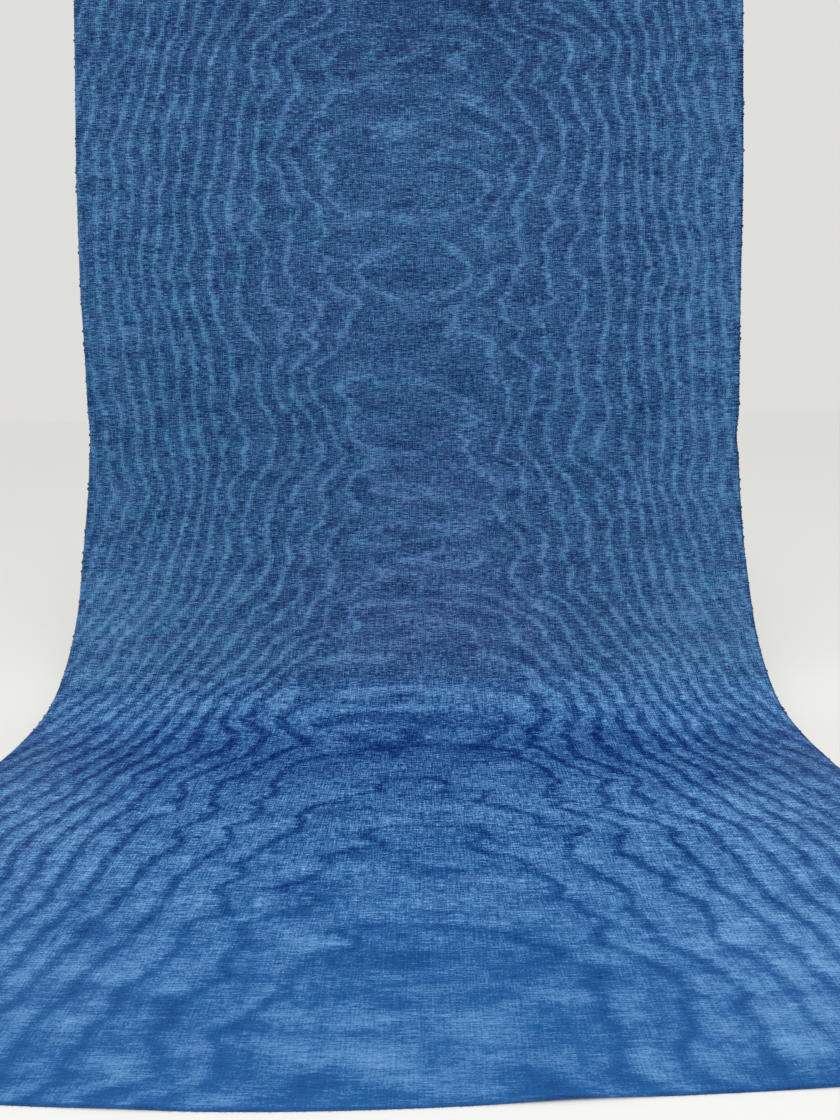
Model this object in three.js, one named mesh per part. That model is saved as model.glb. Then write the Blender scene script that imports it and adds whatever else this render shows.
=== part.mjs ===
import * as THREE from 'three';

// A loom-width length of moire silk. It hangs from its top edge, sweeps forward in one smooth
// curve and lies flat towards the viewer, ending in a cut front edge.
// Millimetres, +Z up, +X across the width, +Y away from the viewer. It lies on Z = 0.

// Driving dimensions
const LOOM_WIDTH = 360; // selvedge to selvedge
const THICKNESS = 1.5;
const CELLS_ACROSS = 22;
const CELLS_ALONG = 66;

// The cloth from its front edge to its top edge. Along each section it turns on one arc, from
// the steepness of the section before to its own, in degrees above the surface.
const SECTIONS = [
  { name: 'laid', length: 190, steepness: 0 },
  { name: 'lift', length: 30, steepness: 8 },
  { name: 'bend', length: 30, steepness: 35 },
  { name: 'sweep', length: 50, steepness: 62 },
  { name: 'rise', length: 60, steepness: 71 },
  { name: 'knee', length: 40, steepness: 84.5 },
  { name: 'drop', length: 90, steepness: 84 },
  { name: 'lean', length: 60, steepness: 81 },
  { name: 'top', length: 110, steepness: 80 },
];

// Soft ripples that stand out of the hanging stretch: how many waves fit the width, the length
// of cloth that one wave takes, its height, and its shift as a share of a turn.
const RIPPLES = [
  { wavesAcross: 0.8, alongLength: 330, height: 0.9, shift: 0.15 },
  { wavesAcross: 2.1, alongLength: 190, height: 0.5, shift: 0.6 },
  { wavesAcross: 3.4, alongLength: 520, height: 0.35, shift: 0.35 },
];
const RIPPLE_FADE = 70; // length of cloth past the laid section over which they grow

// Places where the cut front edge stands off the surface, from left to right.
const FRONT_LIFTS = [
  { across: -128, halfWidth: 34, height: 1.4 },
  { across: -62, halfWidth: 20, height: 0.6 },
  { across: 42, halfWidth: 28, height: 1.8 },
  { across: 118, halfWidth: 38, height: 1.1 },
];
const FRONT_LIFT_REACH = 26; // how far back from the edge a lift runs out

// The cut front edge runs back towards its corners, most at the right one, and wanders a little.
const FRONT_BOW = 6;
const FRONT_SKEW = 8.5;
const FRONT_WANDER = { height: 0.7, waveLength: 97 };

// Places where a selvedge runs in or out of its straight line. At is measured along the cloth.
const SELVEDGE_WANDERS = [
  { side: -1, at: 330, halfLength: 40, out: 0.5 },
  { side: -1, at: 392, halfLength: 16, out: -0.7 },
  { side: -1, at: 470, halfLength: 30, out: 0.9 },
  { side: 1, at: 388, halfLength: 14, out: -1 },
  { side: 1, at: 450, halfLength: 45, out: 0.4 },
  { side: 1, at: 300, halfLength: 30, out: 0.4 },
];

const SILK = { color: 0x2c5f9e, roughness: 0.55, metalness: 0 };

// Worked out from the sizes above
const LAID_LENGTH = SECTIONS[0].length;
const CLOTH_LENGTH = SECTIONS.reduce((sum, section) => sum + section.length, 0);

// A round hump of height 1 that is 0 from one half-width away.
function hump(distance, halfWidth) {
  const share = Math.min(Math.abs(distance) / halfWidth, 1);
  return 0.5 + 0.5 * Math.cos(Math.PI * share);
}

// Place and steepness on the centre line, `along` mm of cloth from the front edge.
function centreLine(along) {
  let y = 0;
  let z = 0;
  let steepness = 0;
  let left = along;
  for (const section of SECTIONS) {
    const run = Math.min(left, section.length);
    const next = THREE.MathUtils.degToRad(section.steepness);
    const curvature = (next - steepness) / section.length;
    const reached = steepness + curvature * run;
    if (Math.abs(curvature) < 1e-9) {
      y += run * Math.cos(steepness);
      z += run * Math.sin(steepness);
    } else {
      y += (Math.sin(reached) - Math.sin(steepness)) / curvature;
      z += (Math.cos(steepness) - Math.cos(reached)) / curvature;
    }
    left -= run;
    steepness = reached;
    if (left <= 0) break;
  }
  return { y, z, steepness };
}

// How far the cut front edge lies back of the line that the cloth's length is counted from.
function frontCut(across) {
  const bow = FRONT_BOW * (1 - hump(across, LOOM_WIDTH / 2));
  const skew = (FRONT_SKEW * across) / LOOM_WIDTH;
  const wander = Math.sin((2 * Math.PI * across) / FRONT_WANDER.waveLength);
  return bow + skew + FRONT_WANDER.height * wander;
}

// Height of the cloth over its smooth path, along the path's normal.
function unevenness(across, along) {
  const grown = THREE.MathUtils.smoothstep(along, LAID_LENGTH, LAID_LENGTH + RIPPLE_FADE);
  let height = 0;
  for (const wave of RIPPLES) {
    const turns = (wave.wavesAcross * across) / LOOM_WIDTH + along / wave.alongLength + wave.shift;
    height += grown * wave.height * Math.sin(2 * Math.PI * turns);
  }
  const fromEdge = along - frontCut(across);
  for (const lift of FRONT_LIFTS) {
    const near = Math.max(1 - fromEdge / FRONT_LIFT_REACH, 0);
    height += lift.height * hump(across - lift.across, lift.halfWidth) * near * near;
  }
  return height;
}

// Half the width at one place along the cloth, on the side -1 or 1.
function halfWidth(side, along) {
  let half = LOOM_WIDTH / 2;
  for (const wander of SELVEDGE_WANDERS) {
    if (wander.side === side) half += wander.out * hump(along - wander.at, wander.halfLength);
  }
  return half;
}

// One vertex of the sheet: u runs from -1 to 1 across, v from 0 to 1 up the cloth, and level
// is 0 on the back and underside or 1 on the face.
function sheetPoint(u, v, level) {
  const start = frontCut((u * LOOM_WIDTH) / 2);
  const along = start + (CLOTH_LENGTH - start) * v;
  const across = u * halfWidth(Math.sign(u), along);
  const { y, z, steepness } = centreLine(along);
  const out = unevenness(across, along) + level * THICKNESS;
  return [across, y - out * Math.sin(steepness), z + out * Math.cos(steepness)];
}

// A closed sheet: a back grid, a face grid, and rims that join their borders.
function sheetGeometry() {
  const positions = [];
  const indices = [];
  const columns = CELLS_ACROSS + 1;
  const rows = CELLS_ALONG + 1;
  const layer = columns * rows;
  for (let level = 0; level < 2; level++) {
    for (let row = 0; row < rows; row++) {
      for (let column = 0; column < columns; column++) {
        const u = (2 * column) / CELLS_ACROSS - 1;
        positions.push(...sheetPoint(u, row / CELLS_ALONG, level));
      }
    }
  }
  const at = (column, row, level) => level * layer + row * columns + column;
  const quad = (a, b, c, d) => indices.push(a, b, c, a, c, d);
  for (let row = 0; row < CELLS_ALONG; row++) {
    for (let column = 0; column < CELLS_ACROSS; column++) {
      const corners = [
        [column, row],
        [column + 1, row],
        [column + 1, row + 1],
        [column, row + 1],
      ];
      quad(...corners.map(([c, r]) => at(c, r, 1)));
      quad(...corners.reverse().map(([c, r]) => at(c, r, 0)));
    }
  }
  // The border once round, front edge first, so that each rim face points outwards.
  const border = [];
  for (let column = 0; column < CELLS_ACROSS; column++) border.push([column, 0]);
  for (let row = 0; row < CELLS_ALONG; row++) border.push([CELLS_ACROSS, row]);
  for (let column = CELLS_ACROSS; column > 0; column--) border.push([column, CELLS_ALONG]);
  for (let row = CELLS_ALONG; row > 0; row--) border.push([0, row]);
  border.forEach(([column, row], index) => {
    const [nextColumn, nextRow] = border[(index + 1) % border.length];
    quad(
      at(column, row, 0),
      at(nextColumn, nextRow, 0),
      at(nextColumn, nextRow, 1),
      at(column, row, 1),
    );
  });
  const geometry = new THREE.BufferGeometry();
  geometry.setAttribute('position', new THREE.Float32BufferAttribute(positions, 3));
  geometry.setIndex(indices);
  return geometry;
}

// The origin goes to the middle of the cloth's footprint, on the surface.
function centredOnFootprint(geometry) {
  geometry.computeBoundingBox();
  const { min, max } = geometry.boundingBox;
  geometry.translate(-(min.x + max.x) / 2, -(min.y + max.y) / 2, 0);
  geometry.computeVertexNormals();
  return geometry;
}

const cloth = new THREE.Mesh(
  centredOnFootprint(sheetGeometry()),
  new THREE.MeshStandardMaterial(SILK),
);
cloth.name = 'cloth';

const fabric = new THREE.Group();
fabric.add(cloth);

export default fabric;
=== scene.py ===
# %% [markdown]
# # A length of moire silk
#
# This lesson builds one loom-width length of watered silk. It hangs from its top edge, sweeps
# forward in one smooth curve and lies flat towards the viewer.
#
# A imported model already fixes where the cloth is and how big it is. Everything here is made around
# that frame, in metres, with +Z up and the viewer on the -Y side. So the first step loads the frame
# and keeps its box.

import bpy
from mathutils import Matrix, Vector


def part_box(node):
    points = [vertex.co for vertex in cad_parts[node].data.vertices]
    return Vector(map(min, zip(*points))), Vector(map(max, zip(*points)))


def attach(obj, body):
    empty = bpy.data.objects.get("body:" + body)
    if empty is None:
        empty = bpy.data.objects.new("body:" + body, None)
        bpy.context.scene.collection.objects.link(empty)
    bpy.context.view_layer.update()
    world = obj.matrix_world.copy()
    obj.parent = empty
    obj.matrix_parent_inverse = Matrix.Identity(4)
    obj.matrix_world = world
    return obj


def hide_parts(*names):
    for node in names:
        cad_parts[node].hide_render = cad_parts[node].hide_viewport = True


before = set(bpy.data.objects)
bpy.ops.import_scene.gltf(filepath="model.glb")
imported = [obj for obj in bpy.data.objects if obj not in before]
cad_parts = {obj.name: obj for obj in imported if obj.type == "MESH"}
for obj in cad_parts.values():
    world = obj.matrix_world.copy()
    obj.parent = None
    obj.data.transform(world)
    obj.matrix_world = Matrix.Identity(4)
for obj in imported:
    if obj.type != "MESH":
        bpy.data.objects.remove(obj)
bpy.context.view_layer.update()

import math

import bpy
import numpy as np
from mathutils import Matrix, Vector

CLOTH_LOW, CLOTH_HIGH = (np.array(corner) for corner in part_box("cloth"))
print("the cloth's node runs from", CLOTH_LOW.round(4), "to", CLOTH_HIGH.round(4))

# %% [markdown]
# ## The route of the cloth
#
# Seen from the side, the cloth is one line: flat on the surface, a soft bend, and a nearly
# upright drop. It could be drawn as a curve with handles, but a weaver measures along the
# cloth, so here it is a short table: each section's length, and how steep it stands at its
# end. Between two rows the steepness changes evenly, which makes an arc. A running mean over
# a centimetre and a half then takes the sudden changes of curvature out, as real silk does.

# %% The section table and the route
SECTIONS = [
    # name, length in metres, steepness at its end in degrees
    ("laid", 0.190, 0.0),
    ("lift", 0.030, 8.0),
    ("bend", 0.030, 35.0),
    ("sweep", 0.050, 62.0),
    ("rise", 0.060, 71.0),
    ("knee", 0.040, 84.5),
    ("drop", 0.090, 84.0),
    ("lean", 0.060, 81.0),
    ("top", 0.110, 80.0),
]
LOOM_WIDTH = 0.360
CLOTH_LENGTH = sum(length for _, length, _ in SECTIONS)
LAID_LENGTH = SECTIONS[0][1]
ROUTE_STEP, ROUTE_SPARE = 0.00025, 0.02
ROUTE_SOFTENING = 0.016


def softened(values, count):
    """A running mean over a number of values, weighted by a round hump. The ends are kept."""
    window = np.hanning(count)
    half = count // 2
    padded = np.pad(values, (half, count - 1 - half), mode="edge")
    return np.convolve(padded, window / window.sum(), mode="valid")


def route_table():
    """Distance along the cloth, steepness, and the side view's y and z at that distance.

    The steepness is interpolated in the table, softened by a running mean, and summed up:
    each small step adds its cosine to y and its sine to z.
    """
    along = np.arange(-ROUTE_SPARE, CLOTH_LENGTH + ROUTE_SPARE, ROUTE_STEP)
    ends = np.cumsum([0.0] + [length for _, length, _ in SECTIONS])
    steep = np.radians([0.0] + [degrees for _, _, degrees in SECTIONS])
    angle = softened(np.interp(along, ends, steep), int(ROUTE_SOFTENING / ROUTE_STEP))
    y = np.cumsum(np.cos(angle)) * ROUTE_STEP
    z = np.cumsum(np.sin(angle)) * ROUTE_STEP
    return along, angle, y - np.interp(0.0, along, y), z - np.interp(0.0, along, z)


ROUTE = route_table()
print("flat size", LOOM_WIDTH, "by", round(CLOTH_LENGTH, 3), "m")

# %% [markdown]
# ## What makes it uneven
#
# Cloth that hangs is never a perfect surface. Three small effects show here: slow ripples in
# the drop, a cut front edge that lifts off the surface in places and isn't quite square, and
# selvedges that run in and out by about a millimetre. Each one is a table of humps or
# waves, so a reader can see and change every one of them. Random noise would be quicker to
# write, but it couldn't be placed.

# %% Ripples, lifts and wandering edges
RIPPLES = [
    # waves across the width, length of a wave along the cloth, height, share of a turn
    (0.8, 0.330, 0.0009, 0.15),
    (2.1, 0.190, 0.0005, 0.60),
    (3.4, 0.520, 0.00035, 0.35),
]
RIPPLE_FADE = 0.070
FRONT_LIFTS = [
    # place across, half width, height
    (-0.128, 0.034, 0.0007),
    (-0.062, 0.020, 0.0003),
    (0.042, 0.028, 0.0006),
    (0.118, 0.038, 0.0005),
]
FRONT_LIFT_REACH = 0.026
FRONT_BOW = 0.0064
FRONT_SKEW = 0.0073
FRONT_WANDER = (0.0005, 0.168)
SELVEDGE_WANDERS = [
    # side, place along, half length, how far out
    (-1, 0.330, 0.040, 0.0005),
    (-1, 0.392, 0.016, -0.0007),
    (-1, 0.470, 0.030, 0.0004),
    (1, 0.388, 0.014, -0.0010),
    (1, 0.395, 0.095, 0.0013),
    (1, 0.300, 0.030, 0.0004),
]
WIDTH_SHIFT = 0.00025  # how far the cloth's middle lies to the right of the frame's
EDGE_SAMPLES = 361


def hump(distance, half_width):
    """A round hump of height 1 that is 0 from one half-width away: half of 1 plus a cosine."""
    share = np.minimum(np.abs(distance) / half_width, 1.0)
    return 0.5 + 0.5 * np.cos(np.pi * share)


def smooth_step(value, low, high):
    """0 below low, 1 above high, and a smooth S between them."""
    share = np.clip((value - low) / (high - low), 0.0, 1.0)
    return share * share * (3.0 - 2.0 * share)


def front_cut(across):
    """How far back the cut edge lies: a bow, a skew and a slow wave across the width."""
    bow = FRONT_BOW * (1.0 - hump(across, LOOM_WIDTH / 2))
    height, wave = FRONT_WANDER
    return bow + FRONT_SKEW * across / LOOM_WIDTH + height * np.sin(2 * np.pi * across / wave)


def unevenness(across, along):
    """Height over the smooth route: the ripples of the drop plus the lifts of the cut edge."""
    grown = smooth_step(along, LAID_LENGTH, LAID_LENGTH + RIPPLE_FADE)
    height = np.zeros_like(across)
    for waves, length, rise, turn in RIPPLES:
        turns = waves * across / LOOM_WIDTH + along / length + turn
        height = height + grown * rise * np.sin(2 * np.pi * turns)
    near = np.maximum(1.0 - (along - front_cut(across)) / FRONT_LIFT_REACH, 0.0)
    for place, half_width, rise in FRONT_LIFTS:
        height = height + rise * hump(across - place, half_width) * near**2
    return height


def half_width(side, along):
    """Half the loom width on each side, with that side's wanders added."""
    half = np.full_like(along, LOOM_WIDTH / 2)
    for wander_side, place, half_length, out in SELVEDGE_WANDERS:
        half = half + (np.sign(side) == wander_side) * out * hump(along - place, half_length)
    return half


def place_on_cloth(across, along, out):
    """Points in space for a place on the cloth and a distance out of its back.

    The route gives the point. From there it goes along the route's normal, by the unevenness
    plus that distance.
    """
    distance, angle, y, z = ROUTE
    steep = np.interp(along, distance, angle)
    lift = unevenness(across, along) + out
    depth = np.interp(along, distance, y) - lift * np.sin(steep)
    height = np.interp(along, distance, z) + lift * np.cos(steep)
    return np.stack([across + WIDTH_SHIFT, depth + ROUTE_START, height], axis=-1)


along_the_cut = np.linspace(-LOOM_WIDTH / 2, LOOM_WIDTH / 2, EDGE_SAMPLES)
ROUTE_START = CLOTH_LOW[1] - front_cut(along_the_cut).min()
print("the cloth's length is counted from y =", round(float(ROUTE_START), 4))

# %% [markdown]
# ## The sheet
#
# Silk this fine is about a third of a millimetre thick. The model is a closed sheet a little
# thicker than that: one grid of points for the back, one for the face, and a rim around them.
# A plane with a Solidify modifier would give the same form. Working out both grids at once
# keeps full control of the flat underside, which has to touch the surface.
#
# The cell also stores where each point is on the flat cloth, across and along. A weave
# has to follow the cloth round the bend, so every pattern below reads these and not the
# position in space. They go into a UV map, in metres of cloth. A second UV map lays face and
# back side by side in the unit square, for anyone who bakes the finish. The rim would be
# stretched from one to the other, so its quads get a thin strip of their own below them.

# %% Build the closed sheet
SHEET_THICKNESS = 0.0005
CELLS_ACROSS = 156
CELLS_ALONG = 296
BAKE_SPAN, BAKE_CORNER, BAKE_BACK_SHIFT = (2.06, 1.03), (0.007, 0.014), (0.5, 0.0)
BAKE_RIM_LEFT, BAKE_RIM_RIGHT, BAKE_RIM_LOW, BAKE_RIM_HIGH = 0.007, 0.993, 0.003, 0.009


def mesh_object(name, points, faces):
    """A new object at the origin from an array of points and an array of quads."""
    mesh = bpy.data.meshes.new(name)
    mesh.from_pydata(points.reshape(-1, 3).tolist(), [], faces.tolist())
    mesh.shade_smooth()
    made = bpy.data.objects.new(name, mesh)
    bpy.context.scene.collection.objects.link(made)
    return made


def add_uv(made, name, per_corner):
    """A UV map from a pair of numbers for each corner of each face, in order."""
    layer = made.data.uv_layers.new(name=name)
    layer.data.foreach_set("uv", per_corner.astype(np.float32).ravel())


def sheet_grid():
    """Place across and along of every grid point. Rows run up the cloth from its cut edge."""
    share_across, share_along = np.meshgrid(
        np.linspace(-1.0, 1.0, CELLS_ACROSS + 1),
        np.linspace(0.0, 1.0, CELLS_ALONG + 1),
    )
    start = front_cut(share_across * LOOM_WIDTH / 2)
    along = start + (CLOTH_LENGTH - start) * share_along
    across = share_across * half_width(share_across, along)
    return across, along


def closed_faces(rows, columns):
    """Quads of a two-layer grid: the back faces down, the face up, and a rim joins their borders."""
    index = np.arange(2 * rows * columns).reshape(2, rows, columns)
    cells = np.stack(
        [index[:, :-1, :-1], index[:, :-1, 1:], index[:, 1:, 1:], index[:, 1:, :-1]], axis=-1
    )
    back = cells[0].reshape(-1, 4)[:, ::-1]
    face = cells[1].reshape(-1, 4)
    border = np.concatenate(
        [
            index[0, 0, :-1],
            index[0, :-1, -1],
            index[0, -1, :0:-1],
            index[0, :0:-1, 0],
        ]
    )
    beyond = np.roll(border, -1)
    layer = rows * columns
    rim = np.stack([border, beyond, beyond + layer, border + layer], axis=-1)
    return np.concatenate([back, face, rim])


def bake_places(on_cloth, faces):
    """Where each corner of each face lies in the unit square of a bake.

    Face and back are the flat cloth divided by a little more than its size, side by side. The
    rim's quads come last, and they stand in a row along their strip.
    """
    side_by_side = on_cloth / (np.array(BAKE_SPAN) * [LOOM_WIDTH, CLOTH_LENGTH]) + BAKE_CORNER
    places = np.concatenate([side_by_side + BAKE_BACK_SHIFT, side_by_side])[faces]
    count = 2 * (CELLS_ACROSS + CELLS_ALONG)
    share = (np.arange(count)[:, None] + [0, 1, 1, 0]) / count
    places[-count:, :, 0] = BAKE_RIM_LEFT + (BAKE_RIM_RIGHT - BAKE_RIM_LEFT) * share
    places[-count:, :, 1] = [BAKE_RIM_LOW, BAKE_RIM_LOW, BAKE_RIM_HIGH, BAKE_RIM_HIGH]
    return places


across_grid, along_grid = sheet_grid()
back_points = place_on_cloth(across_grid, along_grid, 0.0)
face_points = place_on_cloth(across_grid, along_grid, SHEET_THICKNESS)
cloth_faces = closed_faces(*across_grid.shape)
cloth = mesh_object("silk_length", np.stack([back_points, face_points]), cloth_faces)

on_cloth = np.stack([across_grid + LOOM_WIDTH / 2, along_grid], axis=-1).reshape(-1, 2)
add_uv(cloth, "Weave", np.tile(on_cloth, (2, 1))[cloth_faces])
add_uv(cloth, "OFBake", bake_places(on_cloth, cloth_faces))
print("sheet of", len(cloth.data.polygons), "quads")

# %% [markdown]
# ## Threads at the edges
#
# The selvedge is where the weft turns back. Each turn is a tiny loop round the last warp end,
# one for every second rib, and a few stand out further than the rest. At the cut edge the
# warp ends poke out by a fraction of a millimetre.
#
# They could be painted, but an edge is seen against the pale surface, so its outline has to be
# real. Both kinds are the same simple form: a closed spindle with four sides. It is placed in
# the cloth's own coordinates, across, along and out, and then put on the cloth like the sheet.

# %% Loops and ends
RIB_PITCH = 0.00065
THREAD_PROFILE = np.array([0.30, 0.85, 1.00, 0.85, 0.30])
THREAD_SIDES = 4
LOOP_SEED, LOOPS_FROM = 31, 0.010
LOOP_PITCH, LOOP_JITTER, LOOP_RARITY = 2 * RIB_PITCH, 0.00015, 6
# A loop's least and most reach across, along and out
LOOP_LEAST, LOOP_MOST = (0.00030, 0.00038, 0.00022), (0.00095, 0.00090, 0.00024)
END_SEED, END_PITCH, END_RADIUS, END_LEAN = 32, 0.000245, 0.00010, 0.35
# How much of an end is inside the cloth, and the least and most that is outside
END_INSIDE, END_LEAST, END_MOST, END_RARITY = 0.0005, 0.0001, 0.0004, 3


def thread_faces(count):
    """Quads of many small closed tubes: sides between their rings, and a cap at each end."""
    rings = len(THREAD_PROFILE)
    index = np.arange(count * rings * THREAD_SIDES).reshape(count, rings, THREAD_SIDES)
    beyond = np.roll(index, -1, axis=2)
    sides = np.stack([index[:, :-1], index[:, 1:], beyond[:, 1:], beyond[:, :-1]], axis=-1)
    return np.concatenate([sides.reshape(-1, 4), index[:, 0], index[:, -1, ::-1]])


def threads(name, centre, half_reach, radius):
    """Spindles in cloth coordinates (across, along, out), one per row of the three arrays.

    A point is the centre, plus its ring's share of the half reach, plus the profile times the
    radius times (cosine, 0, sine) of its turn round the thread.
    """
    share = np.linspace(-1.0, 1.0, len(THREAD_PROFILE))[:, None, None]
    turn = 2 * np.pi * np.arange(THREAD_SIDES) / THREAD_SIDES
    ring = np.stack([np.cos(turn), 0 * turn, np.sin(turn)], axis=-1)
    centre, half_reach, radius = (rows[:, None, None] for rows in (centre, half_reach, radius))
    points = centre + share * half_reach + THREAD_PROFILE[:, None, None] * radius * ring
    return mesh_object(name, place_on_cloth(*np.moveaxis(points, -1, 0)), thread_faces(len(points)))


def selvedge_loops():
    """A loop at every second rib. Its size is a random share, mostly near 0, of the range."""
    draw = np.random.default_rng(LOOP_SEED)
    middle, reach, radius = [], [], []
    for side in (-1.0, 1.0):
        along = np.arange(LOOPS_FROM, CLOTH_LENGTH - LOOP_PITCH, LOOP_PITCH)
        along += LOOP_JITTER * draw.normal(size=along.shape)
        bigger = draw.random(along.shape)[:, None] ** LOOP_RARITY
        size = np.array(LOOP_LEAST) * (1.0 - bigger) + np.array(LOOP_MOST) * bigger
        edge = side * half_width(side, along)
        middle.append(np.stack([edge, along, np.full_like(along, SHEET_THICKNESS / 2)], axis=-1))
        reach.append(size * [0, 1, 0])
        radius.append(size * [1, 0, 1])
    return threads("selvedge_loops", *(np.concatenate(rows) for rows in (middle, reach, radius)))


def cut_ends():
    """A warp end at every pitch across the cut edge, each a little longer or shorter."""
    draw = np.random.default_rng(END_SEED)
    across = np.arange(-LOOM_WIDTH / 2 + END_PITCH, LOOM_WIDTH / 2, END_PITCH)
    out = END_LEAST + (END_MOST - END_LEAST) * draw.random(across.shape) ** END_RARITY
    lean = END_LEAN * out * draw.normal(size=across.shape)
    along = front_cut(across) + (END_INSIDE - out) / 2
    flat = np.zeros_like(across)
    centre = np.stack([across, along, flat + SHEET_THICKNESS / 2], axis=-1)
    reach = np.stack([-lean, (END_INSIDE + out) / 2, flat], axis=-1)
    return threads("cut_ends", centre, reach, np.full_like(centre, END_RADIUS))


loops = selvedge_loops()
ends = cut_ends()
print("edge threads of", len(loops.data.polygons), "and", len(ends.data.polygons), "quads")

# %% [markdown]
# ## Where the watered lines run
#
# Moire, or watering, is pressed in. The ribbed silk is folded down its middle, selvedge on
# selvedge, damped, and squeezed between rollers. The ribs of the two layers never match
# exactly, so in some places they cross and flatten each other, and in others they nest and
# stay round. Flat and round ribs throw light differently, and the eye sees lines of water.
#
# Three things follow, and together they are the recipe for the pattern. The figure is
# mirrored about the fold. A line is drawn wherever the two layers of ribs have slipped by
# one more rib, so the lines are contours of a smooth slip field. And the slip grows from the
# fold to the selvedges, so the lines are far apart in the middle and crowd at the edges.
#
# An image could be painted, or noise could be distorted until it looks wavy. A slip field is
# better, because contours never cross and stay mirrored, as the real ones do. Where the yarn
# was held more tightly or loosely, they bend, and patches of random numbers stand for that.
#
# The field is smooth, so it is worked out here with numpy and stored at the sheet's points.
# The ragged, thready detail is far finer than the points, so the material adds that later.

# %% The slip between the two pressed layers
FOLD_PLACE, FOLD_WANDER, FOLD_WAVE, FOLD_TURN = 0.0035, 0.0045, 0.31, 0.6
FOLD_SOFTNESS = 0.012
LINE_DENSITY = [
    # from how far out from the fold, lines per metre more
    (0.000, 6.0),
    (0.025, 58.0),
    (0.098, 46.0),
]
DENSITY_SOFTNESS = 0.007
FEWER_LAID, FEWER_TO, FEWER_FROM = 0.32, 0.120, 0.300
ARCHES = [
    # place along, lines gained below it, how far out it reaches, share of it left beyond
    (0.632, 1.0, 0.115, 0.80),
    (0.606, 1.0, 0.110, 0.80),
    (0.557, 1.0, 0.095, 0.60),
    (0.528, -0.5, 0.060, 0.00),
    (0.470, 0.5, 0.055, 0.00),
    (0.437, 0.3, 0.060, 0.00),
    (0.403, -0.3, 0.055, 0.00),
    (0.341, 1.0, 0.090, 0.50),
    (0.296, 1.0, 0.130, 0.90),
    (0.280, 1.0, 0.120, 0.90),
    (0.264, 1.0, 0.110, 0.80),
    (0.231, 0.9, 0.110, 0.80),
    (0.186, 0.75, 0.120, 0.60),
    (0.127, 0.75, 0.130, 0.60),
    (0.098, 0.6, 0.110, 0.60),
    (0.070, 0.6, 0.110, 0.60),
    (0.040, 0.75, 0.120, 0.60),
    (0.008, 0.75, 0.120, 0.60),
]
ARCH_SOFTNESS, ARCH_SPREAD, ARCH_END_SOFTNESS = 0.005, 0.08, 0.022
TENSION_PATCHES = [
    # size across, size along, slip in lines, share of it on the laid part, seed
    (0.070, 0.0400, 0.60, 0.50, 431),
    (0.040, 0.0200, 0.42, 0.50, 432),
    (0.025, 0.0095, 0.27, 0.75, 433),
    (0.016, 0.0045, 0.14, 1.00, 434),
]
MIRRORED_SHARE, FREE_SHARE, FREE_SEED_STEP = 0.75, 0.55, 50
ROW_MOVE, SPARE_CELLS = 0.37, 3
CALM_END, CALM_START = 0.150, 0.260
OUTSIDE, CALMER_OUTSIDE = (0.040, 0.110), 0.50


def patches(across, along, size_across, size_along, seed):
    """Random numbers on a grid of cells, joined smoothly across and evenly along the cloth.

    Each row of cells is moved sideways by a little more than a third of a cell, so that no
    column of cells shows.
    """
    column = (across - across.min()) / size_across
    row = (along - along.min()) / size_along
    draw = np.random.default_rng(seed)
    rows, columns = int(row.max()) + SPARE_CELLS, int(column.max()) + SPARE_CELLS
    table = draw.normal(size=(rows, columns))

    def in_row(number):
        moved = column + (ROW_MOVE * number) % 1.0
        cell = np.floor(moved).astype(int)
        share = smooth_step(moved - cell, 0.0, 1.0)
        return table[number, cell] * (1.0 - share) + table[number, cell + 1] * share

    number = np.floor(row).astype(int)
    share = row - number
    return in_row(number) * (1.0 - share) + in_row(number + 1) * share


def slip(across, along):
    """How many ribs the layers have slipped at a place on the cloth.

    From the fold outwards it grows, faster past each place in the density table, and less on
    the laid stretch. Going down the cloth it drops by one at each arch: at once near the fold,
    and more slowly and less past the arch's reach. Patches of uneven tension, most of them
    mirrored about the fold, bend the lines, less so in the front part of the length.
    """
    fold = FOLD_PLACE + FOLD_WANDER * np.sin(2 * np.pi * along / FOLD_WAVE + FOLD_TURN)
    from_fold = np.sqrt((across - fold) ** 2 + FOLD_SOFTNESS**2) - FOLD_SOFTNESS
    total = np.zeros_like(across)
    for start, density in LINE_DENSITY:
        past = np.logaddexp(0.0, (from_fold - start) / DENSITY_SOFTNESS)
        total += density * DENSITY_SOFTNESS * past
    total *= 1.0 - FEWER_LAID * (1.0 - smooth_step(along, FEWER_TO, FEWER_FROM))
    soft = ARCH_SOFTNESS + ARCH_SPREAD * from_fold
    for place, gained, reach, left in ARCHES:
        below = 0.5 - 0.5 * np.tanh((along - place) / soft)
        inside = 1.0 / (1.0 + np.exp((from_fold - reach) / ARCH_END_SOFTNESS))
        total -= gained * below * (left + (1.0 - left) * inside)
    hanging = smooth_step(along, CALM_END, CALM_START)
    outside = 1.0 - CALMER_OUTSIDE * smooth_step(from_fold, *OUTSIDE)
    for size_across, size_along, height, laid_share, seed in TENSION_PATCHES:
        mirrored = patches(from_fold, along, size_across, size_along, seed)
        free = patches(across, along, size_across, size_along, seed + FREE_SEED_STEP)
        lively = height * outside * (laid_share + (1.0 - laid_share) * hanging)
        total += lively * (MIRRORED_SHARE * mirrored + FREE_SHARE * free)
    return total


def store(made, name, values):
    """A number at each point of a mesh, for its material to read."""
    layer = made.data.attributes.new(name, "FLOAT", "POINT")
    layer.data.foreach_set("value", values.astype(np.float32).ravel())


slip_grid = slip(across_grid, along_grid)
store(cloth, "slip", np.tile(slip_grid.ravel(), 2))
print("the slip runs from", slip_grid.min().round(1), "to", slip_grid.max().round(1), "lines")

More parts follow.
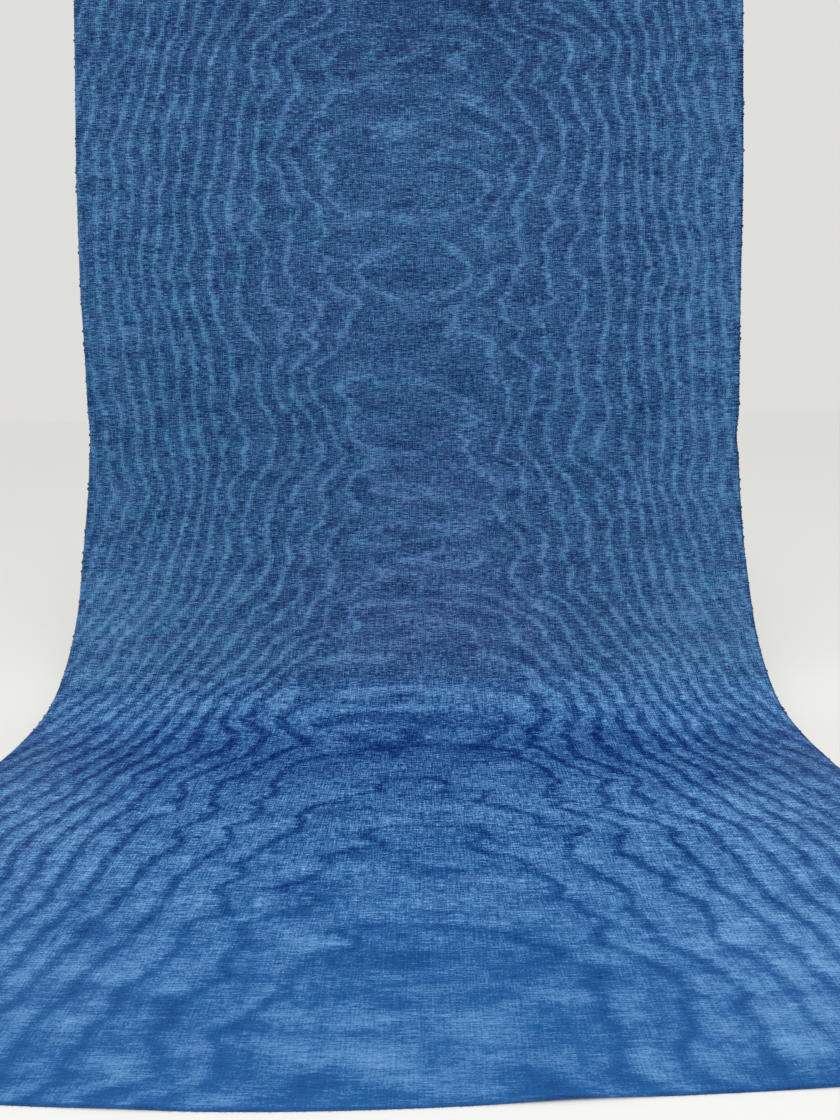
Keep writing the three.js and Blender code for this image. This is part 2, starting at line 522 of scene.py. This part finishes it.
# %% [markdown]
# A line is about equally wide everywhere on the cloth. So where the lines are far apart, it
# takes a smaller share of the way to the next line. That share comes from how crowded the
# lines are, which is the steepness of the slip field.
#
# Nor is a line equally clear everywhere. One that crosses the ribs is crisp, and one that runs
# along them is soft, because a whole rib is pressed alike there. The lines also fade near the
# fold, the selvedges and the front. Both are slow changes, so the points can carry them.

# %% How crowded and how clear the lines are
CROWDED, LEAST_CROWDED, GRADIENT_CELLS = 105.0, 0.42, 7
CROSSING, FAINTER_ALONG_RIBS = (0.10, 0.80), 0.30
FADES = {
    # where: how far it reaches, how much fainter
    "side": (0.070, 0.20),
    "fold": (0.110, 0.08),
    "front": (0.140, 0.52),
}


def slip_gradient(slipped, across, along):
    """Lines per metre along the cloth and across it, softened over a few cells."""
    rates = []
    for axis, distance in ((0, along), (1, across)):
        rate = np.abs(np.gradient(slipped, axis=axis) / np.gradient(distance, axis=axis))
        for other in (0, 1):
            rate = np.apply_along_axis(softened, other, rate, GRADIENT_CELLS)
        rates.append(rate)
    return rates


def clearness(crossing, across, along):
    """How clear a line is, 0 to 1: the product of one factor for each thing that fades it."""
    clear = 1.0 - FAINTER_ALONG_RIBS * (1.0 - smooth_step(crossing, *CROSSING))
    distances = {"side": LOOM_WIDTH / 2 - np.abs(across), "fold": np.abs(across), "front": along}
    for where, (reach, fainter) in FADES.items():
        clear = clear * (1.0 - fainter * (1.0 - smooth_step(distances[where], 0.0, reach)))
    return clear


rate_along, rate_across = slip_gradient(slip_grid, across_grid, along_grid)
rate = np.hypot(rate_along, rate_across)
crowd_grid = np.clip(rate / CROWDED, LEAST_CROWDED, 1.0)
clear_grid = clearness(rate_across / rate, across_grid, along_grid)
store(cloth, "crowding", np.tile(crowd_grid.ravel(), 2))
store(cloth, "clearness", np.tile(clear_grid.ravel(), 2))
print("crowding from", crowd_grid.min().round(2), "to", crowd_grid.max().round(2))
print("clearness from", clear_grid.min().round(2), "to", clear_grid.max().round(2))

# %% [markdown]
# ## Painted sheen and shade, hue, and the distance to each edge
#
# Three more things are worked out at the points. The painted sheen and shade is how much lighter or
# darker a whole area is painted, standing in for light and shade: darker in the bend, where shade
# falls, and lighter near the selvedges, which catch the light. The hue is how far an area leans from
# teal to purple, as dyed silk does. Each is a short table of soft humps, which can be placed, where
# noise can't. And the finish changes in the last millimetres before each edge, with a darker stripe
# inside the left selvedge and a painted highlight and painted shade along the edges, so the
# distances to both selvedges and to the cut edge are stored as well. Those are even slopes, so they
# stay exact between the points.

# %% Store the painted sheen and shade, the hue and the distances
# Painted light and shade: darker in the bend, where shade falls, and at the top of the drop; lighter
# where the sweep, the selvedges and the front of the laid stretch catch the light.
PAINTED_SHEEN_AND_SHADE = [
    # place across, place along, reach across, reach along, how much lighter it is painted
    (0.000, 0.188, 0.700, 0.055, -0.26),
    (-0.085, 0.212, 0.055, 0.030, -0.10),
    (0.065, 0.215, 0.050, 0.034, -0.07),
    (0.010, 0.640, 0.260, 0.130, -0.15),
    (0.020, 0.610, 0.080, 0.060, -0.07),
    (-0.130, 0.290, 0.090, 0.050, 0.06),
    (-0.180, 0.290, 0.080, 0.060, 0.17),
    (0.165, 0.280, 0.090, 0.065, 0.16),
    (-0.180, 0.570, 0.060, 0.080, 0.05),
    (-0.180, 0.440, 0.060, 0.200, 0.06),
    (0.180, 0.440, 0.075, 0.220, 0.12),
    (-0.090, 0.140, 0.060, 0.035, -0.08),
    (-0.010, 0.125, 0.110, 0.055, -0.08),
    (0.000, 0.010, 0.080, 0.040, 0.06),
    (-0.100, 0.040, 0.060, 0.050, 0.05),
    (0.120, 0.045, 0.070, 0.070, 0.12),
]
HUES = [
    # place across, place along, reach across, reach along, how much nearer to purple
    (0.010, 0.290, 0.110, 0.065, 0.42),
    (0.020, 0.370, 0.080, 0.050, 0.22),
    (-0.050, 0.460, 0.050, 0.040, 0.22),
    (0.090, 0.500, 0.060, 0.120, 0.12),
    (-0.130, 0.400, 0.070, 0.160, -0.10),
]


def humps(table, across, along):
    """The sum of a table's humps, each the product of one hump across and one along."""
    total = np.zeros_like(across)
    for place, distance, reach_across, reach_along, height in table:
        total += height * hump(across - place, reach_across) * hump(along - distance, reach_along)
    return total


# The painted sheen and shade, then the hue, at each point.
store(cloth, "sheen", np.tile(humps(PAINTED_SHEEN_AND_SHADE, across_grid, along_grid).ravel(), 2))
store(cloth, "hue", np.tile(humps(HUES, across_grid, along_grid).ravel(), 2))
edge_distances = {
    "from_left": half_width(-1.0, along_grid) + across_grid,
    "from_right": half_width(1.0, along_grid) - across_grid,
    "from_cut": along_grid - front_cut(across_grid),
}
for name, distances in edge_distances.items():
    store(cloth, name, np.tile(distances.ravel(), 2))
print("stored", [layer.name for layer in cloth.data.attributes if layer.data_type == "FLOAT"])

# %% [markdown]
# ## Writing shader maths as Python
#
# A material is a network of nodes, and a formula with twenty steps is twenty nodes. Wiring
# them by hand hides the formula. So a small class wraps a node's output socket and gives it
# the usual operators: writing `1 - mask * 0.5` adds the two Math nodes and links them. One
# other method adds any other node: its type, its settings, then its sockets.

# %% A wrapper for sockets
MIDDLE = 0.5  # of anything that runs from 0 to 1
NOISE_SPREAD, SEED_SLANT = 3.2, 0.37
# The curve of everyday colours: where its straight start ends, and the numbers of both parts
START_END, START_SLOPE, CURVE_SHIFT, CURVE_POWER = 0.04045, 12.92, 0.055, 2.4


class Wire:
    """A node output that takes part in Python sums. Each operator adds a Math node."""

    def __init__(self, tree, socket):
        self.tree = tree
        self.socket = socket

    def node(self, kind, settings=None, sockets=None, output=0):
        """Adds a node of any type and gives its output back as a Wire."""
        return add_node(self.tree, kind, settings, sockets, output)

    def math(self, operation, *others):
        """Adds a Math node that works on this output and the others."""
        settings = {"operation": operation}
        return self.node("ShaderNodeMath", settings, dict(enumerate([self, *others])))

    def __add__(self, other):
        return self.math("ADD", other)

    __radd__ = __add__

    def __sub__(self, other):
        return self.math("SUBTRACT", other)

    def __rsub__(self, other):
        return self.node("ShaderNodeMath", {"operation": "SUBTRACT"}, {0: other, 1: self})

    def __mul__(self, other):
        return self.math("MULTIPLY", other)

    __rmul__ = __mul__

    def __truediv__(self, other):
        return self.math("DIVIDE", other)

    def smooth(self, low, high):
        """0 at low, 1 at high, and a smooth S between them. Low may be above high."""
        settings = {"interpolation_type": "SMOOTHSTEP"}
        return self.node("ShaderNodeMapRange", settings, {0: self, 1: low, 2: high})

    def scaled(self, x, y):
        """A place on the cloth divided by a size across and a size along it."""
        settings = {"operation": "MULTIPLY"}
        return self.node("ShaderNodeVectorMath", settings, {0: self, 1: (1 / x, 1 / y, 0)})

    def noise(self, x, y, detail=2.0, roughness=0.5, seed=0.0):
        """Soft noise from -1 to 1 with spots about x wide and y long, in metres of cloth."""
        away = (seed, seed * SEED_SLANT, 0)
        moved = self.node("ShaderNodeVectorMath", {"operation": "ADD"}, {0: self, 1: away})
        raw = moved.node(
            "ShaderNodeTexNoise",
            {"noise_dimensions": "2D"},
            {"Vector": moved.scaled(x, y), "Scale": 1.0, "Detail": detail, "Roughness": roughness},
        )
        return (raw - MIDDLE) * NOISE_SPREAD


def add_node(tree, kind, settings=None, sockets=None, output=0):
    """Adds a node, sets its settings first, then its sockets' values or links."""
    node = tree.nodes.new(kind)
    for name, value in (settings or {}).items():
        if name == "stops":
            ramp_stops(node.color_ramp, value)
        else:
            setattr(node, name, value)
    for name, value in (sockets or {}).items():
        socket = node.inputs[name]
        if isinstance(value, Wire):
            tree.links.new(value.socket, socket)
        else:
            socket.default_value = value
    return Wire(tree, node.outputs[output]) if len(node.outputs) else node


def mix(tree, share, first, second, blend="MIX"):
    """Blends two colours by a share from 0 to 1."""
    settings = {"data_type": "RGBA", "blend_type": blend}
    sockets = {"Factor": share, "A": first, "B": second}
    return add_node(tree, "ShaderNodeMix", settings, sockets, output="Result")


def ramp_stops(ramp, stops):
    """Puts (place, colour) stops into a colour ramp, in order."""
    for _ in stops[2:]:
        ramp.elements.new(MIDDLE)
    for element, (place, colour) in zip(ramp.elements, stops):
        element.position = place
        element.color = (*colour, 1.0)


def new_material(name):
    """An empty material and its node tree."""
    material = bpy.data.materials.new(name)
    material.use_nodes = True
    material.node_tree.nodes.clear()
    return material, material.node_tree


def linear(red, green, blue):
    """An everyday 0 to 255 colour as the linear numbers that a shader adds up.

    The darkest shares are divided by the start's slope. The others are raised to a power,
    after the shift is added and they are divided by 1 plus the shift.
    """
    share = np.array([red, green, blue]) / 255.0
    curved = ((share + CURVE_SHIFT) / (1.0 + CURVE_SHIFT)) ** CURVE_POWER
    return tuple(np.where(share <= START_END, share / START_SLOPE, curved))


print("shader helpers ready")

# %% [markdown]
# ## The watered silk finish
#
# The silk is ribbed: a thick weft runs across, hidden by a fine, close warp. Four things make
# its look, and each has its own table or function below.
#
# 1. The watered lines. The slip stored on the sheet is made ragged by noise that is long
#    across and very short along, because each weft thread carries its own small error. Near a
#    whole number the silk is light. On the drop that zone is narrow, so light lines show. On
#    the laid stretch it is wide, so what is left between two zones is a narrow dark line.
# 2. The threads: thick and thin places of the weft, fine upright lines of the warp, and
#    speckles where single threads catch the light.
# 3. The dye, which drifts a little between teal and purple from place to place.
# 4. The weave itself, a chequer of warp over weft, which is only a relief.
#
# In real silk the flattened ribs act like small mirrors, and the effect turns with the eye. Here it
# is painted into the colour by place on the cloth instead: the laid stretch's wide light zones,
# narrow dark lines and lighter ramp are a painted reflection of how the pressed ribs catch the light
# at that angle, so the finish doesn't depend on where a camera stands.

# %% Sizes and tones of the finish
WARP_PITCH = 0.00049
THREAD_NOISES = {
    # name: size across, size along, detail, roughness, seed
    "weft": (0.0038, 0.00036, 1.0, 0.60, 0.0),
    "slub": (0.0150, 0.00065, 2.0, 0.60, 3.1),
    "speckle": (0.0006, 0.00040, 0.0, 0.50, 6.4),
    "warp": (0.0005, 0.00900, 1.0, 0.50, 5.3),
    "cloud": (0.0320, 0.01000, 4.0, 0.62, 8.7),
    "jog": (0.0060, 0.00150, 2.0, 0.60, 1.9),
    "dye": (0.0160, 0.00800, 5.0, 0.80, 7.7),
}
GRAIN_SHARES = {"weft": 0.58, "slub": 0.34, "speckle": 0.38, "warp": 0.28}
GRAIN_FULL_FROM, GRAIN_LESS_AT_CUT = 0.180, 0.80
JOG_OF_LINES, WEFT_OF_LINES = 0.07, 0.035
TURN_LOW, TURN_HIGH = 0.215, 0.275
BEND_PLACE, BEND_REACH, THINNER_IN_BEND = 0.212, 0.040, 0.06
# The drop's and the laid stretch's values below differ as a painted reflection: light lines on a
# darker ground on the drop, dark lines on a lighter ground on the laid stretch.
LINE_HALF, GAP_HALF = 0.165, 0.18
LINE_SOFTNESS = {"drop": 0.12, "laid": 0.13}
LINE_MEAN = {"drop": 0.34, "laid": 0.62}
TONES = {
    # ground, lighter on a line, more so in a cloud, lighter in a cloud, rise from line to line
    "drop": (0.345, 0.31, 0.06, 0.19, -0.12),
    "laid": (0.27, 0.38, 0.00, 0.20, 0.08),
}
# Edge tones: a darker stripe inside the left selvedge, and a painted highlight and painted shade
# along the edges.
EDGE_STRIPES_AND_PAINTED_LIGHT = [
    # stored distance, how wide, softness, how much lighter
    # Painted highlight: the left selvedge lighter, where its loops catch the light.
    ("from_left", 0.0010, 0.0004, 0.16),
    ("from_left", 0.0042, 0.0020, -0.09),
    # Painted shade along the right selvedge, which faces away from the light.
    ("from_right", 0.0008, 0.0005, -0.24),
    # Painted shade along the cut edge, where the cloth curls down away from the light.
    ("from_cut", 0.0006, 0.0004, -0.16),
]
STOPS = {
    "drop": [
        (0.0, linear(0, 20, 69)),
        (0.46, linear(31, 74, 120)),
        (1.0, linear(97, 143, 186)),
    ],
    # The laid stretch's ramp is lighter than the drop's: a painted reflection of the pressed ribs at
    # that angle, on the same dye.
    "laid": [
        (0.0, linear(0, 20, 88)),
        (0.5, linear(36, 92, 150)),
        (1.0, linear(134, 184, 228)),
    ],
}
RAMP_ROOM = 0.125  # how far past 0 and 1 a tone may go before the ramp ends
TEAL_TINT, PURPLE_TINT = (0.70, 1.05, 0.99, 1.0), (1.14, 0.91, 1.05, 1.0)
DYE_SHARE = {"drop": 0.62, "laid": 0.20}
RIB_SWAY, RIB_RELIEF, THICK_PLACES, END_RELIEF = 0.8, 0.5, 0.4, 0.3
BUMP_STRENGTH, BUMP_HEIGHT = 0.3, 0.0001
ROUGHNESS, SMOOTHER_ON_LINE, MIRROR_SHINE = 0.58, 0.10, 0.08
print("finish of", len(THREAD_NOISES), "noises and", len(EDGE_STRIPES_AND_PAINTED_LIGHT), "edge tones")

# %% [markdown]
# The next cell turns those tables into nodes, one function for each scale. The watered lines
# come first, because everything else is laid over them.

# %% The silk material


def between(share, table):
    """A number that goes from its value on the drop to its value on the laid stretch."""
    return share * (table["laid"] - table["drop"]) + table["drop"]


def watered_lines(slipped, crowd, clear, laid, in_bend, noises):
    """How much lighter than the mean it is, and the share of the way from line to line.

    Half a line, or on the laid stretch half a gap, is its named share times the crowding. The
    mean is twice that half. It is taken off, so that thinner lines don't darken an area. A
    less clear line is fainter and has softer edges.
    """
    ragged = slipped + noises["jog"] * JOG_OF_LINES + noises["weft"] * WEFT_OF_LINES
    away = (ragged - ragged.math("ROUND")).math("ABSOLUTE")
    half = between(laid, {"drop": crowd * LINE_HALF, "laid": MIDDLE - crowd * GAP_HALF})
    half = half - in_bend * THINNER_IN_BEND
    soft = between(laid, LINE_SOFTNESS) * crowd / clear
    lighter = (away.smooth(half + soft, half - soft) - half * 2.0) * clear
    return lighter + between(laid, LINE_MEAN), ragged.math("FRACT")


def silk_tone(part, light, tooth, cloud):
    """Place on a part's colour ramp: its ground, plus the line, the cloud and the rise."""
    ground, line, cloudy_line, cloudy, rise = TONES[part]
    lit = light * (cloud * cloudy_line + line)
    return lit + cloud * cloudy + (tooth - MIDDLE) * rise + ground


def silk_height(out, along, weft):
    """Relief in ribs: the rib's own wave, its thick places, and the warp's chequer on it."""
    rib = (along * (2 * math.pi / RIB_PITCH) + weft * RIB_SWAY).math("SINE")
    end = (out * (2 * math.pi / WARP_PITCH)).math("SINE")
    return rib * RIB_RELIEF + weft * THICK_PLACES + rib * end * END_RELIEF


def silk_material():
    """The whole finish: lines, grain, painted sheen and shade, and edges on two ramps, the laid one
    a painted reflection, then the dye and relief.
    """
    material, tree = new_material("watered_silk")

    def stored(name):
        return add_node(tree, "ShaderNodeAttribute", {"attribute_name": name}, output=2)

    place = add_node(tree, "ShaderNodeUVMap", {"uv_map": "Weave"})
    out = place.node("ShaderNodeSeparateXYZ", None, {0: place}, output=0)
    along = place.node("ShaderNodeSeparateXYZ", None, {0: place}, output=1)
    noises = {name: place.noise(*sizes) for name, sizes in THREAD_NOISES.items()}

    laid = along.smooth(TURN_HIGH, TURN_LOW)
    in_bend = ((along - BEND_PLACE) / BEND_REACH).math("ABSOLUTE").smooth(1.0, 0.0)
    field = [stored(name) for name in ("slip", "crowding", "clearness")]
    light, tooth = watered_lines(*field, laid, in_bend, noises)
    less = along.smooth(GRAIN_FULL_FROM, 0.0) * GRAIN_LESS_AT_CUT
    grain = sum(noises[name] * share for name, share in GRAIN_SHARES.items()) * (1.0 - less)
    # The grain plus the painted sheen and shade.
    grain_and_painted_light = grain + stored("sheen")
    # The stripe inside the left selvedge, and the painted highlight and painted shade along the
    # selvedges and the cut edge.
    for name, width, softness, lighter in EDGE_STRIPES_AND_PAINTED_LIGHT:
        grain_and_painted_light = grain_and_painted_light + stored(name).smooth(width + softness, width - softness) * lighter

    colours = {}
    for part, stops in STOPS.items():
        tone = silk_tone(part, light, tooth, noises["cloud"]) + grain_and_painted_light
        on_ramp = (tone + RAMP_ROOM) / (1.0 + 2.0 * RAMP_ROOM)
        colours[part] = add_node(tree, "ShaderNodeValToRGB", {"stops": stops}, {0: on_ramp})
    # Past the turn the laid stretch's ramp, a painted reflection, takes over.
    colour = mix(tree, laid, colours["drop"], colours["laid"])
    hue = noises["dye"] * between(laid, DYE_SHARE) + stored("hue") + MIDDLE
    tint = mix(tree, hue, TEAL_TINT, PURPLE_TINT)
    height = silk_height(out, along, noises["weft"])
    relief = {"Height": height, "Strength": BUMP_STRENGTH, "Distance": BUMP_HEIGHT}
    bump = add_node(tree, "ShaderNodeBump", None, relief)
    shader = add_node(
        tree,
        "ShaderNodeBsdfPrincipled",
        None,
        {
            "Base Color": mix(tree, 1.0, colour, tint, blend="MULTIPLY"),
            "Roughness": ROUGHNESS - light * SMOOTHER_ON_LINE,
            "Specular IOR Level": MIRROR_SHINE,
            "Normal": bump,
        },
    )
    add_node(tree, "ShaderNodeOutputMaterial", None, {"Surface": shader})
    return material


silk = silk_material()
cloth.data.materials.append(silk)
print("silk finish of", len(silk.node_tree.nodes), "nodes")

# %% [markdown]
# The edge threads need no pattern: each is thinner than one of its speckles. They only take
# the colour of the yarn, darker in the loops, which are packed tight and stand in each
# other's shade.

# %% Yarn for the edge threads
YARNS = [
    # piece, name of its finish, colour
    (loops, "loop_yarn", linear(26, 54, 94)),
    (ends, "cut_yarn", linear(40, 86, 138)),
]
YARN_ROUGHNESS = 0.7


def plain_material(name, colour, roughness):
    """One colour and one roughness all over."""
    material, tree = new_material(name)
    sockets = {"Base Color": (*colour, 1.0), "Roughness": roughness}
    shader = add_node(tree, "ShaderNodeBsdfPrincipled", None, sockets)
    add_node(tree, "ShaderNodeOutputMaterial", None, {"Surface": shader})
    return material


for piece, name, colour in YARNS:
    piece.data.materials.append(plain_material(name, colour, YARN_ROUGHNESS))
print("yarns", [name for _, name, _ in YARNS])

# %% [markdown]
# ## The surface and the light
#
# The cloth lies on a plain pale surface, in soft light from all around, as from big white
# panels. A lit world gives the even light and the pale background. A wide, soft sun from the
# front lifts the surface to the same tone, so that no horizon shows, and a panel above the
# viewer makes the laid stretch brighter than the drop.

# %% Floor, world and lights
FLOOR_HALF, FLOOR_TONE, FLOOR_ROUGHNESS = 6.0, (0.8, 0.8, 0.785), 0.8
WORLD_TONE = (0.735, 0.73, 0.705)
LIGHTS = [
    # name, kind, place, what it points at, its settings
    ("wide_sun", "SUN", (-0.3, -1.0, 2.2), (0, 0, 0), {"energy": 0.56, "angle": math.radians(70)}),
    (
        "panel",
        "AREA",
        (0.05, -0.55, 0.75),
        (0, -0.2, 0),
        {"energy": 3.2, "size": 0.7, "shape": "SQUARE"},
    ),
]


def pale_floor():
    """One wide square at height 0."""
    corners = np.array([[-1, -1, 0], [1, -1, 0], [1, 1, 0], [-1, 1, 0]], dtype=float) * FLOOR_HALF
    floor = mesh_object("floor", corners, np.array([[0, 1, 2, 3]]))
    floor.data.materials.append(plain_material("pale_surface", FLOOR_TONE, FLOOR_ROUGHNESS))


def soft_world():
    """Even light from all around."""
    world = bpy.data.worlds.new("soft_light")
    bpy.context.scene.world = world
    world.use_nodes = True
    background = world.node_tree.nodes["Background"]
    background.inputs["Color"].default_value = (*WORLD_TONE, 1.0)
    background.inputs["Strength"].default_value = 1.0


def add_light(name, kind, place, aim, settings):
    """A light at a place that points at another."""
    lamp = bpy.data.objects.new(name, bpy.data.lights.new(name, kind))
    for key, value in settings.items():
        setattr(lamp.data, key, value)
    bpy.context.scene.collection.objects.link(lamp)
    away = Vector(place) - Vector(aim)
    lamp.rotation_euler = away.to_track_quat("Z", "Y").to_euler()
    lamp.location = place


pale_floor()
soft_world()
for light in LIGHTS:
    add_light(*light)
bpy.context.scene.view_settings.view_transform = "Standard"

# %% [markdown]
# ## The camera
#
# The viewer stands close, with the lens low over the cut edge and tipped a little down. A
# phone's main lens sees about 67 degrees up and down. The camera's turn is built from its
# three named angles as matrices, which keeps the order of the turns plain. A camera that isn't
# turned looks straight down, so it is tipped up by a right angle first.

# %% Place the camera
LENS_MM, NEAREST = 27.03, 0.01
EYE_ACROSS, EYE_BEFORE_EDGE, EYE_HEIGHT = 0.0103, 0.1601, 0.1557
RIGHT_ANGLE, LOOK_DOWN, LOOK_LEFT, TILT = 90.0, 11.04, 0.754, -0.77

camera = bpy.data.objects.new("camera", bpy.data.cameras.new("camera"))
camera.data.lens = LENS_MM
camera.data.clip_start = NEAREST
bpy.context.scene.collection.objects.link(camera)
turn = Matrix.Rotation(math.radians(LOOK_LEFT), 4, "Z")
tip = Matrix.Rotation(math.radians(RIGHT_ANGLE - LOOK_DOWN), 4, "X")
roll = Matrix.Rotation(math.radians(TILT), 4, "Z")
eye = (EYE_ACROSS, ROUTE_START - EYE_BEFORE_EDGE, EYE_HEIGHT)
camera.matrix_world = Matrix.Translation(eye) @ turn @ tip @ roll
bpy.context.scene.camera = camera
print("camera at", [round(x, 4) for x in eye])

# %% [markdown]
# ## Tie the cloth to the frame
#
# The three pieces take the place of the plain solid and ride on the one body that the part has.

# %% Attach to the body and hide the plain solid
for piece in (cloth, loops, ends):
    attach(piece, "root")
    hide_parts("cloth")
